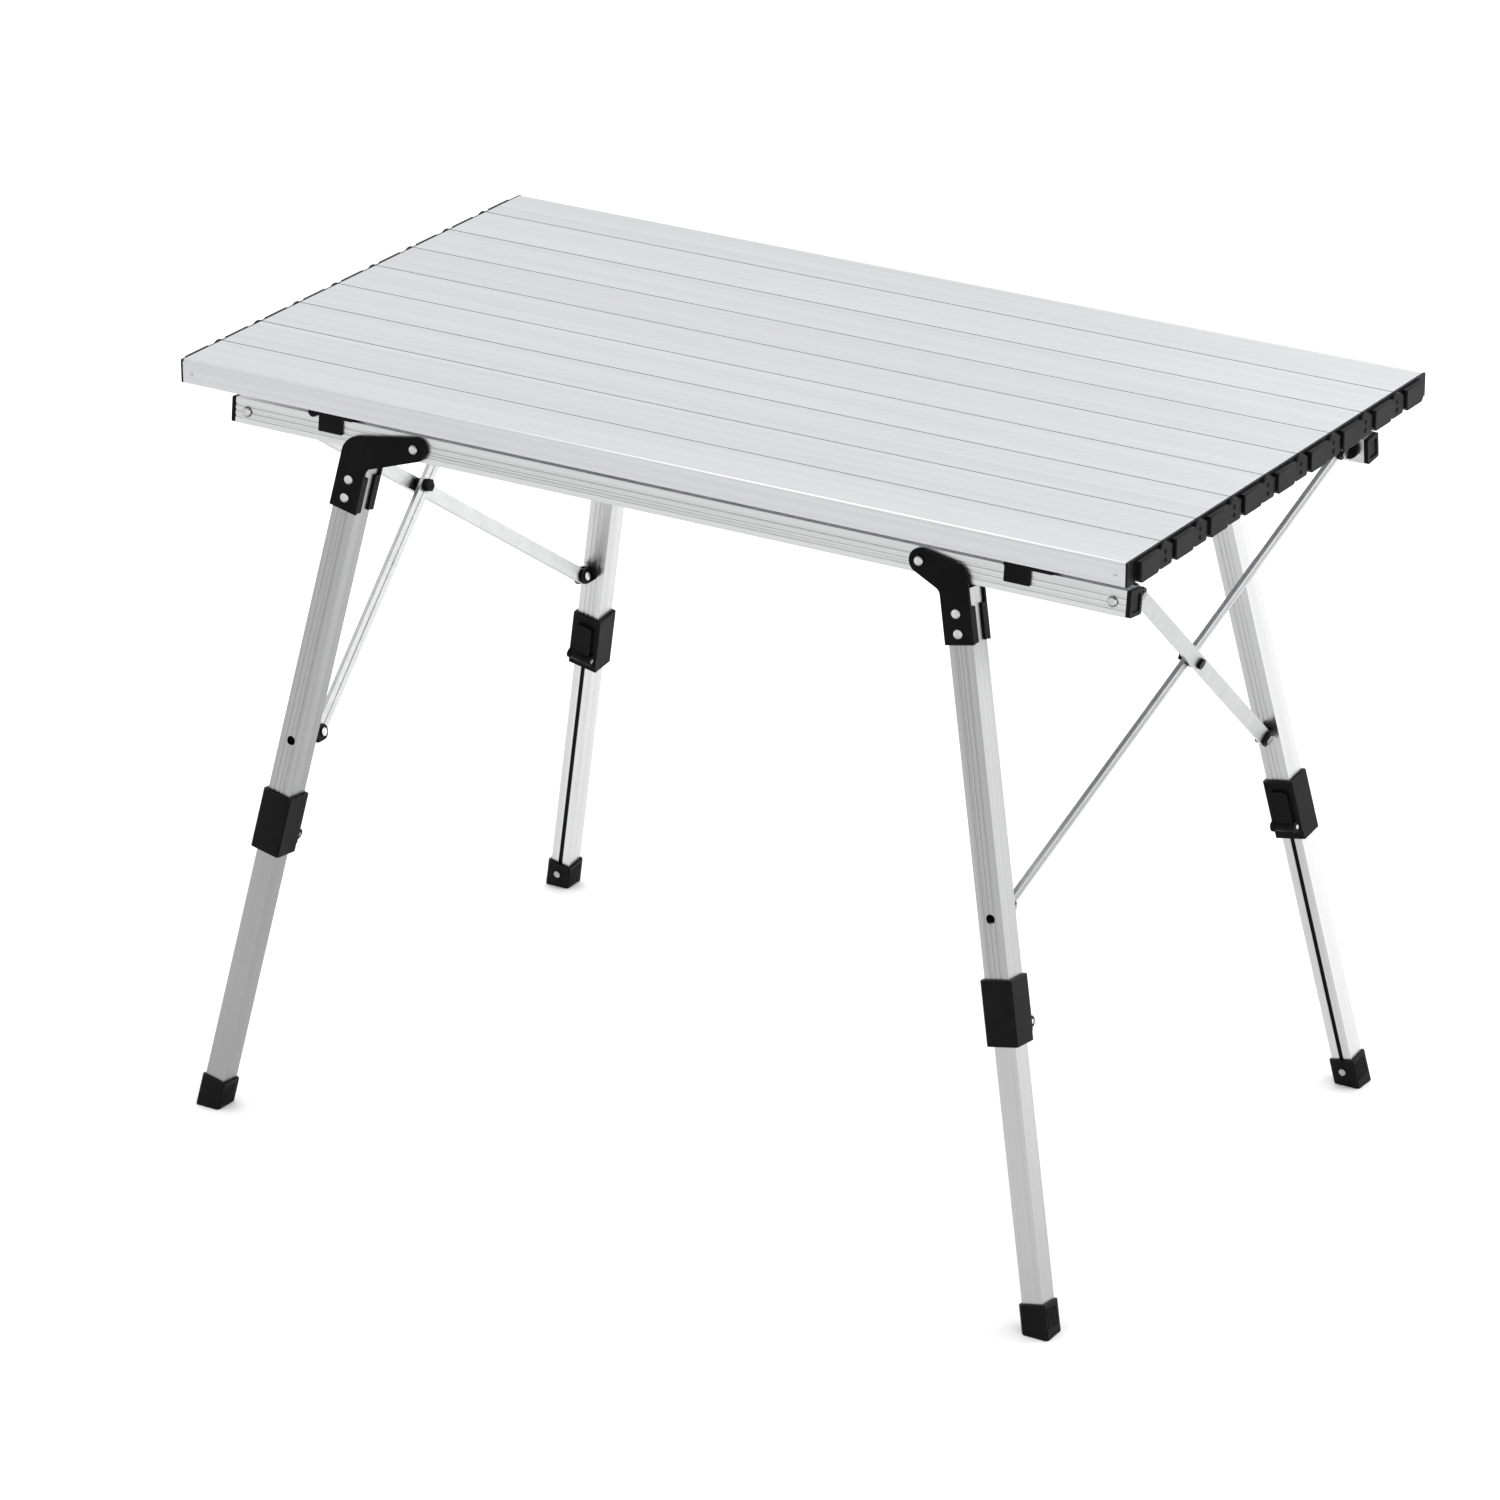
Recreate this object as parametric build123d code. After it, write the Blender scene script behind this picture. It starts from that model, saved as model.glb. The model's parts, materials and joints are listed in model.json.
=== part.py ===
"""Folding picnic table: a roll-up top of nine aluminium slats on a folding leg frame.

Millimetres, +Z up. The origin is on the floor, under the middle of the top. +X is the long
direction, -Y is the front. The frame has two long rails. Each rail carries two telescopic legs,
and crossed braces join the rails to the legs at both ends of the table.

Every leg is drawn once, as the front right one, in its own frame: the origin is the leg's pivot
in its rail, -Z runs down the leg, +X points to the end of the table and -Y to the outside.
"""
from build123d import *
from math import cos, hypot, radians, sin, sqrt, tan
import os

# ---------------------------------------------------------------- driving dimensions
TABLE_HEIGHT = 672.0            # floor to the upper face, legs drawn out
TOP_LENGTH = 910.0              # over the plastic slat ends
SLAT_COUNT = 9
SLAT_PITCH = 57.2
SLAT_GAP = 1.0
SLAT_WALL = 1.1
SLAT_SIDE = 16.0                # depth of the sides between two slats
SKIRT_DEPTH = 20.4              # depth of the outer side of the first and last slat
SLAT_LIP = 6.0                  # inward lips along the lower edges
SLAT_END = 7.2                  # length of the plastic ends past the metal
END_PLATE = 2.0                 # thickness of the plate over a slat's end
EDGE_RADIUS = 2.5               # rounded upper edge of the skirts
BLOCK_HALF = 15.5               # half width of the proud block on a slat's end
BLOCK_TOP = -1.8                # its upper side below the upper face
LINK_HALF = 9.8                 # half width of the link between two blocks
LINK_TOP = -3.6
TONGUE_LENGTH = 12.0            # how far the plastic reaches into the channel

HINGE_DEPTH = 18.5              # slat hinge axis below the upper face
HINGE_PIN_RADIUS = 1.2
HINGE_KNUCKLE_RADIUS = 2.1
RUNNING_FIT = 0.05              # radial clearance of a turning pin
HOLE_PLAY = 0.03                # radial play of a hole round a rivet or a fixed pin
CLEARANCE = 0.3                 # between parts that move past each other

RAIL_Y = 204.5                  # middle of a rail from the middle of the table
RAIL_LENGTH = 860.0             # over the end caps
RAIL_WIDTH = 19.0
RAIL_HEIGHT = 22.0
RAIL_WALL = 1.4
RAIL_DROP = 54.5                # rail axis below the upper face
RAIL_CAP = 4.0                  # thickness of an end cap's flange
GROOVE_DEPTH = 0.4
GROOVE_WIDTH = 2.0

LEAN = 6.7                      # degrees that rails and legs lean outward, seen from the end
SPLAY = 11.5                    # degrees that the legs spread, seen from the front
PIVOT_X = 242.0                 # leg pivots from the middle of the table
PIVOT_SKEW = 3.5                # degrees that the pivots are turned, so that folded legs pass
LONG_OFFSET = 55.0              # leg axis to pivot, left legs
SHORT_OFFSET = 28.0             # leg axis to pivot, right legs

UPPER_TUBE = 22.5
LOWER_TUBE = 19.5
TUBE_WALL = 1.2
LONG_TUBE_TOP = 32.0            # top of the tube below the pivot, along the leg
SHORT_TUBE_TOP = 23.5
COLLAR_TOP = 343.0
COLLAR_LENGTH = 55.0
COLLAR_SIZE = 29.0
TUBE_JOINT = 372.0              # lower end of the upper tube, inside the collar
LEVER_PIN = (16.8, 384.0)       # inward and down from the leg axis at the pivot's level
LEVER_PIN_RADIUS = 2.0
LEVER_HALF = 8.5
LEVER_KNUCKLE = 4.2             # radius of the lever's round end
EAR_RADIUS = 4.8
LOWER_TUBE_LENGTH = 336.0
SLOT_WIDTH = 4.0
FOOT_SIZE = 24.5
FOOT_LENGTH = 26.0
FOOT_SCREW = 15.5               # height of the screw above the sole, along the leg

PLATE_THICKNESS = 2.4
PLATE_WIDTH = 27.0
PIVOT_EYE_RADIUS = 10.5
RIVET_RADIUS = 3.0
RIVET_HEAD_RADIUS = 4.4
RIVET_HEAD_HEIGHT = 2.2
RIVET_ROUNDING = 2.0

BRACE_X = 414.0                 # braces' pivots near the rail ends
BRACE_ON_LEG = 293.0            # braces' pivots below the leg pivots, along the leg
BAR_WIDTH = 13.0
BAR_THICKNESS = 4.0
BAR_GAP = 5.0                   # between two crossed bars
CLEVIS_REACH = 12.5             # from a rail's or a leg's face to the bar's pin
RAIL_CLEVIS_GAP = 1.3           # between a clevis and the rail face it turns on
LEG_CLEVIS_GAP = 2.6
RAIL_CLEVIS_BASE = 8.0          # radius of the round base
LEG_CLEVIS_BASE = 6.5
BRACE_PIN_RADIUS = 2.5

CLIP_LENGTH = 44.0
CLIP_STARTS = (-351.0, 316.0)   # left ends of the two clips on a rail
CLIP_TABS = (-340.0, 317.0)     # left ends of their tabs
CLIP_TAB_LENGTH = 23.0

# ---------------------------------------------------------------- values worked out from them
RAIL_Z = TABLE_HEIGHT - RAIL_DROP
METAL_HALF = TOP_LENGTH / 2 - SLAT_END
LINK_OUTER = METAL_HALF + 5.2
TAB_START = METAL_HALF - 5.5
KNUCKLE_END = METAL_HALF - 0.5
SLAT_WIDTH = SLAT_PITCH - SLAT_GAP
HINGE_Z = TABLE_HEIGHT - HINGE_DEPTH
MIDDLE_SLAT = (SLAT_COUNT + 1) // 2
BAR_OFFSET = (BAR_THICKNESS + BAR_GAP) / 2
COLLAR_BOTTOM = COLLAR_TOP + COLLAR_LENGTH

SIDES = ("left", "right")
ROWS = ("front", "back")


def slat_y(number):
    """Middle of a slat; slat 1 is at the front."""
    return (number - MIDDLE_SLAT) * SLAT_PITCH


def block(x, y, z):
    """A box from its three (low, high) ranges."""
    size = Box(x[1] - x[0], y[1] - y[0], z[1] - z[0])
    return Pos((x[0] + x[1]) / 2, (y[0] + y[1]) / 2, (z[0] + z[1]) / 2) * size


def rod_x(radius, x0, x1, y, z):
    return Pos((x0 + x1) / 2, y, z) * Rot(0, 90, 0) * Cylinder(radius, x1 - x0)


def rod_y(radius, y0, y1, x, z):
    return Pos(x, (y0 + y1) / 2, z) * Rot(90, 0, 0) * Cylinder(radius, y1 - y0)


def extrude_x(points, length):
    """A straight profile of (y, z) points along X, centred."""
    face = make_face(Polyline([(y, z) for y, z in points], close=True))
    return Pos(-length / 2, 0, 0) * (Plane.YZ * extrude(face, length))


def mirrored(shape, side, row):
    """The front right piece carried to another corner."""
    if side == "left":
        shape = mirror(shape, about=Plane.YZ)
    if row == "back":
        shape = mirror(shape, about=Plane.XZ)
    return shape


def save(name, *solids):
    pieces = [solid for shape in solids for solid in shape.solids()]
    shape = pieces[0] if len(pieces) == 1 else Compound(children=pieces)
    shape.label = name
    export_step(shape, f"parts/{name}.step")


# ---------------------------------------------------------------- roll-up top
def slat(number):
    """An open channel: upper sheet, two sides and inward lips."""
    half = SLAT_WIDTH / 2
    front = SKIRT_DEPTH if number == 1 else SLAT_SIDE
    back = SKIRT_DEPTH if number == SLAT_COUNT else SLAT_SIDE
    wall = SLAT_WALL
    outline = [
        (-half, 0), (half, 0), (half, -back), (half - SLAT_LIP, -back),
        (half - SLAT_LIP, -back + wall), (half - wall, -back + wall), (half - wall, -wall),
        (-half + wall, -wall), (-half + wall, -front + wall), (-half + SLAT_LIP, -front + wall),
        (-half + SLAT_LIP, -front), (-half, -front),
    ]
    body = extrude_x(outline, 2 * METAL_HALF)
    if number in (1, SLAT_COUNT):
        edge_y = -half if number == 1 else half
        outer_edges = body.edges().filter_by(Axis.X).filter_by_position(Axis.Z, -0.01, 0.01)
        outer_edges = outer_edges.filter_by_position(Axis.Y, edge_y - 0.01, edge_y + 0.01)
        body = fillet(outer_edges, EDGE_RADIUS)
    return Pos(0, slat_y(number), TABLE_HEIGHT) * body


def slat_plug(number):
    """Right-hand end of a slat: plate, proud block, tongue in the channel, hinge knuckle and pin."""
    half = SLAT_WIDTH / 2
    proud = block((METAL_HALF, TOP_LENGTH / 2), (-BLOCK_HALF, BLOCK_HALF), (-SKIRT_DEPTH, BLOCK_TOP))
    lower = proud.edges().filter_by(Axis.X).sort_by(Axis.Z)[:2]
    proud = chamfer(lower, 3.0)
    outer = proud.faces().sort_by(Axis.X)[-1].edges()
    proud = fillet(outer, 1.2)
    plug = proud + block((METAL_HALF, METAL_HALF + END_PLATE), (-half, half), (-SLAT_SIDE + 0.2, -0.2))
    if number == 1:
        plug += block((METAL_HALF, METAL_HALF + END_PLATE), (-half, -BLOCK_HALF), (-SKIRT_DEPTH, -0.2))
    if number == SLAT_COUNT:
        plug += block((METAL_HALF, METAL_HALF + END_PLATE), (BLOCK_HALF, half), (-SKIRT_DEPTH, -0.2))
    inset = half - SLAT_WALL - 0.2
    plug += block((METAL_HALF - TONGUE_LENGTH, METAL_HALF), (-inset, inset),
                  (-SLAT_SIDE + SLAT_WALL + 0.2, -SLAT_WALL - 0.2))
    if number < SLAT_COUNT:
        axis_y = SLAT_PITCH / 2
        tab_z = (-HINGE_DEPTH - HINGE_KNUCKLE_RADIUS + 0.2, -SLAT_SIDE - 0.4)
        plug += block((TAB_START, METAL_HALF), (BLOCK_HALF - 8, BLOCK_HALF), tab_z)
        plug += block((TAB_START, KNUCKLE_END), (BLOCK_HALF - 8, axis_y), tab_z)
        plug += rod_x(HINGE_KNUCKLE_RADIUS, TAB_START, KNUCKLE_END, axis_y, -HINGE_DEPTH)
        plug += rod_x(HINGE_PIN_RADIUS, KNUCKLE_END - 1, LINK_OUTER, axis_y, -HINGE_DEPTH)
    return Pos(0, slat_y(number), TABLE_HEIGHT) * plug


def slat_link(number):
    """Link fixed beside the block of this slat; it turns on the pin of the slat in front."""
    axis_y = -SLAT_PITCH / 2
    x0 = METAL_HALF + END_PLATE + CLEARANCE
    body = block((x0, LINK_OUTER), (axis_y - LINK_HALF, axis_y + LINK_HALF), (-SKIRT_DEPTH, LINK_TOP))
    body = fillet(body.edges().filter_by(Axis.X), 2.0)
    body -= rod_x(HINGE_PIN_RADIUS + RUNNING_FIT, x0 - 1, LINK_OUTER + 1, axis_y, -HINGE_DEPTH)
    neck = block((x0, x0 + 2.0), (axis_y + LINK_HALF - 1, -BLOCK_HALF), (-16, -6))
    return Pos(0, slat_y(number), TABLE_HEIGHT) * (body + neck)


def slat_ends(number):
    right = [slat_plug(number)]
    if number > 1:
        right.append(slat_link(number))
    return right + [mirror(piece, about=Plane.YZ) for piece in right]


# ---------------------------------------------------------------- rails
def tilt(shape):
    """From a rail's own frame, where it is upright on the origin, to the front rail's place."""
    return Pos(0, -RAIL_Y, RAIL_Z) * Rot(-LEAN, 0, 0) * shape


def pivot_place(shape, side):
    """From a leg pivot's own frame, with the pin along Y, to the front right corner."""
    skew = PIVOT_SKEW if side == "left" else -PIVOT_SKEW
    return Pos(PIVOT_X, -RAIL_Y, RAIL_Z) * Rot(-LEAN, 0, 0) * Rot(0, 0, skew) * shape


def rivet(x, z, y0, y1):
    """A through rivet along Y with a domed head at each end."""
    shank = rod_y(RIVET_RADIUS, y0, y1, x, z)
    for face, direction in ((y0, -1), (y1, 1)):
        head = rod_y(RIVET_HEAD_RADIUS, min(face, face + direction * RIVET_HEAD_HEIGHT),
                     max(face, face + direction * RIVET_HEAD_HEIGHT), x, z)
        rim = head.edges().filter_by(GeomType.CIRCLE).sort_by(Axis.Y)
        head = fillet(rim[-1] if direction > 0 else rim[0], RIVET_ROUNDING)
        shank += head
    return shank


def rail():
    """Hollow bar with three shallow grooves along its outer side, bored for the leg pivots."""
    length = RAIL_LENGTH - 2 * RAIL_CAP
    body = Box(length, RAIL_WIDTH, RAIL_HEIGHT)
    body -= Box(length + 2, RAIL_WIDTH - 2 * RAIL_WALL, RAIL_HEIGHT - 2 * RAIL_WALL)
    for z in (-5.0, 0.0, 5.0):
        outer = -RAIL_WIDTH / 2
        groove = (z - GROOVE_WIDTH / 2, z + GROOVE_WIDTH / 2)
        body -= block((-length / 2 - 1, length / 2 + 1), (outer - 1, outer + GROOVE_DEPTH), groove)
    for x in (-BRACE_X, BRACE_X):
        body -= rod_y(RIVET_RADIUS + HOLE_PLAY, -RAIL_WIDTH, RAIL_WIDTH, x, 0)
    bore = rod_y(RIVET_RADIUS + RUNNING_FIT, -RAIL_WIDTH, RAIL_WIDTH, 0, 0)
    right = pivot_place(bore, "right")
    left = mirror(pivot_place(bore, "left"), about=Plane.YZ)
    return tilt(body) - right - left


def rail_cap():
    """Square plug for the right-hand end of a rail, with a recessed panel."""
    end = RAIL_LENGTH / 2
    flange = block((end - RAIL_CAP, end), (-RAIL_WIDTH / 2, RAIL_WIDTH / 2),
                   (-RAIL_HEIGHT / 2, RAIL_HEIGHT / 2))
    flange = fillet(flange.edges().filter_by(Axis.X), 1.5)
    flange -= block((end - 1.2, end + 1), (-RAIL_WIDTH / 2 + 3, RAIL_WIDTH / 2 - 3),
                    (-RAIL_HEIGHT / 2 + 3.5, RAIL_HEIGHT / 2 - 3.5))
    half_y = RAIL_WIDTH / 2 - RAIL_WALL - 0.05
    half_z = RAIL_HEIGHT / 2 - RAIL_WALL - 0.05
    tongue = block((end - RAIL_CAP - 7, end - RAIL_CAP), (-half_y, half_y), (-half_z, half_z))
    return flange + tongue


def end_rivet():
    """Rivet of the brace clevis: head outside, shank through both walls, flush inside."""
    shank = rod_y(RIVET_RADIUS, -RAIL_WIDTH / 2, RAIL_WIDTH / 2, BRACE_X, 0)
    outer = -RAIL_WIDTH / 2
    head = rod_y(RIVET_HEAD_RADIUS, outer - RIVET_HEAD_HEIGHT, outer, BRACE_X, 0)
    head = fillet(head.edges().filter_by(GeomType.CIRCLE).sort_by(Axis.Y)[0], RIVET_ROUNDING)
    return shank + head


def clip(start, tab_start):
    """Saddle on the front rail that carries the top, with a tab over the rail's outer side."""
    outer = -RAIL_WIDTH / 2
    top = RAIL_HEIGHT / 2
    plate = block((start, start + CLIP_LENGTH), (outer - 2.4, -outer - 1), (top, top + 3.4))
    tab = block((tab_start, tab_start + CLIP_TAB_LENGTH), (outer - 2.4, outer), (top - 13, top + 1))
    barrel = rod_y(4.4, outer - 2.4, outer, start + 4.5, top + 2.0)
    saddle = tilt(plate + tab + barrel)
    middle = start + CLIP_LENGTH / 2
    under_slats = TABLE_HEIGHT - SKIRT_DEPTH
    pillar = block((middle - 10, middle + 14), (-RAIL_Y - 5, -RAIL_Y + 7),
                   (RAIL_Z + top + 1.5, under_slats))
    pad = block((middle - 12, middle + 16), (-RAIL_Y - 3, -RAIL_Y + 9),
                (under_slats - 2.0, TABLE_HEIGHT - SLAT_SIDE - CLEARANCE - 0.2))
    return saddle + pillar + pad


# ---------------------------------------------------------------- legs
def leg_place(shape):
    """From a leg's own frame to the front right corner."""
    return Pos(PIVOT_X, -RAIL_Y, RAIL_Z) * Rot(-LEAN, 0, 0) * Rot(0, -SPLAY, 0) * shape


def leg_point(offset, down, inward):
    """A point of the front right leg frame, in the table's frame."""
    spread = radians(SPLAY)
    lean = radians(LEAN)
    x = offset * cos(spread) + down * sin(spread)
    depth = down * cos(spread) - offset * sin(spread)
    y = -depth * sin(lean) + inward * cos(lean)
    z = -depth * cos(lean) - inward * sin(lean)
    return (PIVOT_X + x, -RAIL_Y + y, RAIL_Z + z)


def floor_reach(offset):
    """Distance along the leg axis from the pivot's level to the floor."""
    drop = RAIL_Z / cos(radians(LEAN))
    return (drop + offset * sin(radians(SPLAY))) / cos(radians(SPLAY))


def tangent_point(radius, angle, above):
    """Where a line at an angle below the horizontal touches the pivot eye."""
    side = 1 if above else -1
    return (side * radius * sin(radians(angle)), side * radius * cos(radians(angle)))


def plate_outline(offset, arm_top, arm_bottom, bottom, corner):
    """Bracket plate in the leg plane: a round eye, a sloping arm and the part along the tube."""
    near = offset - PLATE_WIDTH / 2
    far = offset + PLATE_WIDTH / 2
    upper = tangent_point(PIVOT_EYE_RADIUS, arm_top, True)
    lower = tangent_point(PIVOT_EYE_RADIUS, arm_bottom, False)
    corner_z = upper[1] - (far - upper[0]) * tan(radians(arm_top))
    inner_z = lower[1] - (near - lower[0]) * tan(radians(arm_bottom))
    points = [upper, (far, corner_z), (far, -bottom), (near, -bottom), (near, inner_z), lower]
    face = make_face(Polyline(points, close=True))
    face = fillet(face.vertices().sort_by_distance((far, corner_z))[0], corner)
    face = fillet(face.vertices().sort_by_distance((near, inner_z))[0], 7.0)
    return face + Circle(PIVOT_EYE_RADIUS)


BRACKETS = {
    # offset, slopes of the arm's edges, lower end, outer corner radius, tube top, rivets
    "left": (LONG_OFFSET, 21.0, 29.5, 77.0, 19.0, LONG_TUBE_TOP, (49.5, 66.0)),
    "right": (SHORT_OFFSET, 22.0, 37.0, 68.5, 16.0, SHORT_TUBE_TOP, (43.0, 59.5)),
}


def bracket(side):
    """Two pressed plates either side of rail and tube, and the three rivets through them."""
    offset, arm_top, arm_bottom, bottom, corner, _, rivets = BRACKETS[side]
    inner = UPPER_TUBE / 2
    outer = inner + PLATE_THICKNESS
    outline = Plane.XZ * plate_outline(offset, arm_top, arm_bottom, bottom, corner)
    sheet = extrude(outline, PLATE_THICKNESS)
    plate = Pos(0, -inner, 0) * sheet
    flange_top = -(rivets[0] - 5.0)
    for edge in (-1, 1):
        side_x = sorted((offset + edge * UPPER_TUBE / 2, offset + edge * PLATE_WIDTH / 2))
        plate += block(side_x, (-outer + 0.6, -5.5), (-bottom + 0.8, flange_top))
    pins = []
    for down in rivets:
        plate -= rod_y(RIVET_RADIUS + HOLE_PLAY, -outer - 5, 0, offset, -down)
        pins.append(leg_place(rivet(offset, -down, -outer, outer)))
    plates = [leg_place(plate), leg_place(mirror(plate, about=Plane.XZ))]
    bore = pivot_place(rod_y(RIVET_RADIUS + HOLE_PLAY, -outer - 5, outer + 5, 0, 0), side)
    pins.append(pivot_place(rivet(0, 0, -outer - CLEARANCE, outer + CLEARANCE), side))
    return [piece - bore for piece in plates] + pins


def tube(size, wall, x, top, bottom):
    body = block((x - size / 2, x + size / 2), (-size / 2, size / 2), (-bottom, -top))
    hollow = size / 2 - wall
    return body - block((x - hollow, x + hollow), (-hollow, hollow), (-bottom - 1, -top + 1))


def upper_tube(side):
    """Upper leg tube, grooved on its outer and inner faces, with an open hole at the brace."""
    offset, top, rivets = BRACKETS[side][0], BRACKETS[side][5], BRACKETS[side][6]
    body = tube(UPPER_TUBE, TUBE_WALL, offset, top, TUBE_JOINT)
    face = UPPER_TUBE / 2
    for x in (-4.5, 0.0, 4.5):
        band = (offset + x - GROOVE_WIDTH / 2, offset + x + GROOVE_WIDTH / 2)
        body -= block(band, (-face - 1, -face + GROOVE_DEPTH), (-TUBE_JOINT - 1, -top + 1))
        body -= block(band, (face - GROOVE_DEPTH, face + 1), (-TUBE_JOINT - 1, -top + 1))
    for down in rivets:
        body -= rod_y(RIVET_RADIUS + HOLE_PLAY, -face - 1, face + 1, offset, -down)
    body -= rod_y(4.0, -face - 1, 0, offset, -BRACE_ON_LEG)
    return leg_place(body)


def clamp_collar(side):
    """Square sleeve over the telescopic joint, with two ears for the lever's pin."""
    offset = BRACKETS[side][0]
    half = COLLAR_SIZE / 2
    body = block((offset - half, offset + half), (-half, half), (-COLLAR_BOTTOM, -COLLAR_TOP))
    body = chamfer(body.edges().filter_by(Axis.Z), 1.6)
    fit = UPPER_TUBE / 2
    body -= block((offset - fit, offset + fit), (-fit, fit), (-TUBE_JOINT, -COLLAR_TOP + 1))
    slide = LOWER_TUBE / 2 + CLEARANCE
    body -= block((offset - slide, offset + slide), (-slide, slide), (-COLLAR_BOTTOM - 1, -TUBE_JOINT + 1))
    inward, down = LEVER_PIN
    step = block((offset - half - 1, offset + half + 1), (half - 2.5, half + 1),
                 (-COLLAR_BOTTOM - 1, -down - 6.5))
    pocket = block((offset - LEVER_HALF - CLEARANCE, offset + LEVER_HALF + CLEARANCE),
                   (half - 2.0, half + 1), (-COLLAR_BOTTOM - 1, -down + 6.0))
    for edge in (-1, 1):
        ear_x = sorted((offset + edge * (LEVER_HALF + CLEARANCE), offset + edge * (LEVER_HALF + 3.6)))
        ear = rod_x(EAR_RADIUS, ear_x[0], ear_x[1], inward, -down)
        ear += block(ear_x, (half - 1, inward), (-down - EAR_RADIUS, -down + EAR_RADIUS))
        body += ear
    body -= step
    body -= pocket
    body -= rod_x(LEVER_PIN_RADIUS + RUNNING_FIT, offset - half, offset + half, inward, -down)
    return leg_place(body)


def clamp_lever(side):
    """Thumb lever on the inner face and the steel pin that it is fixed to."""
    offset = BRACKETS[side][0]
    inward, down = LEVER_PIN
    face = COLLAR_SIZE / 2 + CLEARANCE
    x = (offset - LEVER_HALF, offset + LEVER_HALF)
    thumb = block(x, (face, face + 3.2), (-down + LEVER_KNUCKLE - 1, -COLLAR_TOP - 8))
    corners = thumb.edges().filter_by(Axis.Y).sort_by(Axis.Z)[-2:]
    thumb = fillet(corners, 4.0)
    neck = block(x, (face, face + 2.4), (-down, -down + LEVER_KNUCKLE))
    knuckle = rod_x(LEVER_KNUCKLE, x[0], x[1], inward, -down)
    lever = thumb + neck + knuckle
    lever -= rod_x(LEVER_PIN_RADIUS + HOLE_PLAY, x[0] - 1, x[1] + 1, inward, -down)
    reach = LEVER_HALF + 4.2
    pin = rod_x(LEVER_PIN_RADIUS, offset - reach, offset + reach, inward, -down)
    return [leg_place(lever), leg_place(pin)]


def lower_tube(side):
    """Sliding tube with the slot down its inner face."""
    offset = BRACKETS[side][0]
    bottom = floor_reach(offset) - 8.0
    top = bottom - LOWER_TUBE_LENGTH
    body = tube(LOWER_TUBE, TUBE_WALL, offset, top, bottom)
    slot_x = (offset - SLOT_WIDTH / 2, offset + SLOT_WIDTH / 2)
    body -= block(slot_x, (5, LOWER_TUBE / 2 + 1), (-bottom + 10, -top + 1))
    return leg_place(body)


def foot(side):
    """Plastic shoe, cut level with the floor, and the screw that holds it."""
    offset = BRACKETS[side][0]
    reach = floor_reach(offset)
    half = FOOT_SIZE / 2
    shoe = block((offset - half, offset + half), (-half, half), (-reach - 12, -reach + FOOT_LENGTH))
    shoe = chamfer(shoe.edges().filter_by(Axis.Z), 2.0)
    fit = LOWER_TUBE / 2
    shoe -= block((offset - fit, offset + fit), (-fit, fit), (-reach + 8, -reach + FOOT_LENGTH + 1))
    level = -reach + FOOT_SCREW
    screw = rod_y(3.2, half, half + 1.4, offset, level)
    screw += rod_y(1.6, LOWER_TUBE / 2, half, offset, level)
    shoe -= rod_y(1.6 + HOLE_PLAY, 0, half + 1, offset, level)
    shoe = leg_place(shoe)
    floor = Pos(PIVOT_X, -RAIL_Y, -50) * Box(600, 400, 100)
    return [shoe - floor, leg_place(screw)]


# ---------------------------------------------------------------- crossed braces
def brace_points(side):
    """Pin positions of the bar from the front rail to the back leg, at the right-hand end.

    The left-hand bars are drawn at the right too, with the left legs' offset, and mirrored.
    """
    lean = radians(LEAN)
    start = (BRACE_X, -RAIL_Y + RAIL_WIDTH / 2 / cos(lean) + CLEVIS_REACH, RAIL_Z)
    offset = BRACKETS[side][0]
    inward = UPPER_TUBE / 2 + CLEVIS_REACH
    x, y, z = leg_point(offset, BRACE_ON_LEG, inward)
    return start, (x, -y, z)


def brace_frame(side):
    """The crossed bars' plane: origin, direction from rail to leg seen from the front, and normal."""
    start, end = brace_points(side)
    run = hypot(end[0] - start[0], end[2] - start[2])
    along = ((end[0] - start[0]) / run, 0, (end[2] - start[2]) / run)
    normal = (-along[2], 0, along[0])
    return start, end, along, normal


def shifted(point, normal, distance):
    return tuple(p + n * distance for p, n in zip(point, normal))


def brace_bar(side, outside):
    """A flat bar with round ends. The outside bar starts at the front rail, the other at the back."""
    start, end, _, normal = brace_frame(side)
    level = BAR_OFFSET if outside else -BAR_OFFSET
    span = sqrt(sum((b - a) ** 2 for a, b in zip(start, end)))
    half = BAR_WIDTH / 2
    bar = Pos(span / 2, 0, 0) * Box(span, BAR_WIDTH, BAR_THICKNESS)
    bar += Cylinder(half, BAR_THICKNESS) + Pos(span, 0, 0) * Cylinder(half, BAR_THICKNESS)
    for x in (0, span):
        bar -= Pos(x, 0, 0) * Cylinder(BRACE_PIN_RADIUS + RUNNING_FIT, 20)
    crossing = span * -start[1] / (end[1] - start[1])
    pieces = [bar]
    face = BAR_THICKNESS / 2
    if outside:
        washer = Pos(crossing, 0, -face - (BAR_GAP - CLEARANCE) / 2) * Cylinder(6.5, BAR_GAP - CLEARANCE)
        head = Pos(crossing, 0, face + 1.4) * Cylinder(4.6, 2.8)
        pieces += [washer, head]
    else:
        nut = Pos(crossing, 0, -face - 5.0) * extrude(RegularPolygon(6.0, 6), 5.0)
        pieces += [nut]
    if not outside:
        start = (start[0], -start[1], start[2])
        end = (end[0], -end[1], end[2])
    direction = tuple(b - a for a, b in zip(start, end))
    plane = Plane(origin=shifted(start, normal, level), x_dir=direction, z_dir=normal)
    return [plane * piece for piece in pieces]


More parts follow.
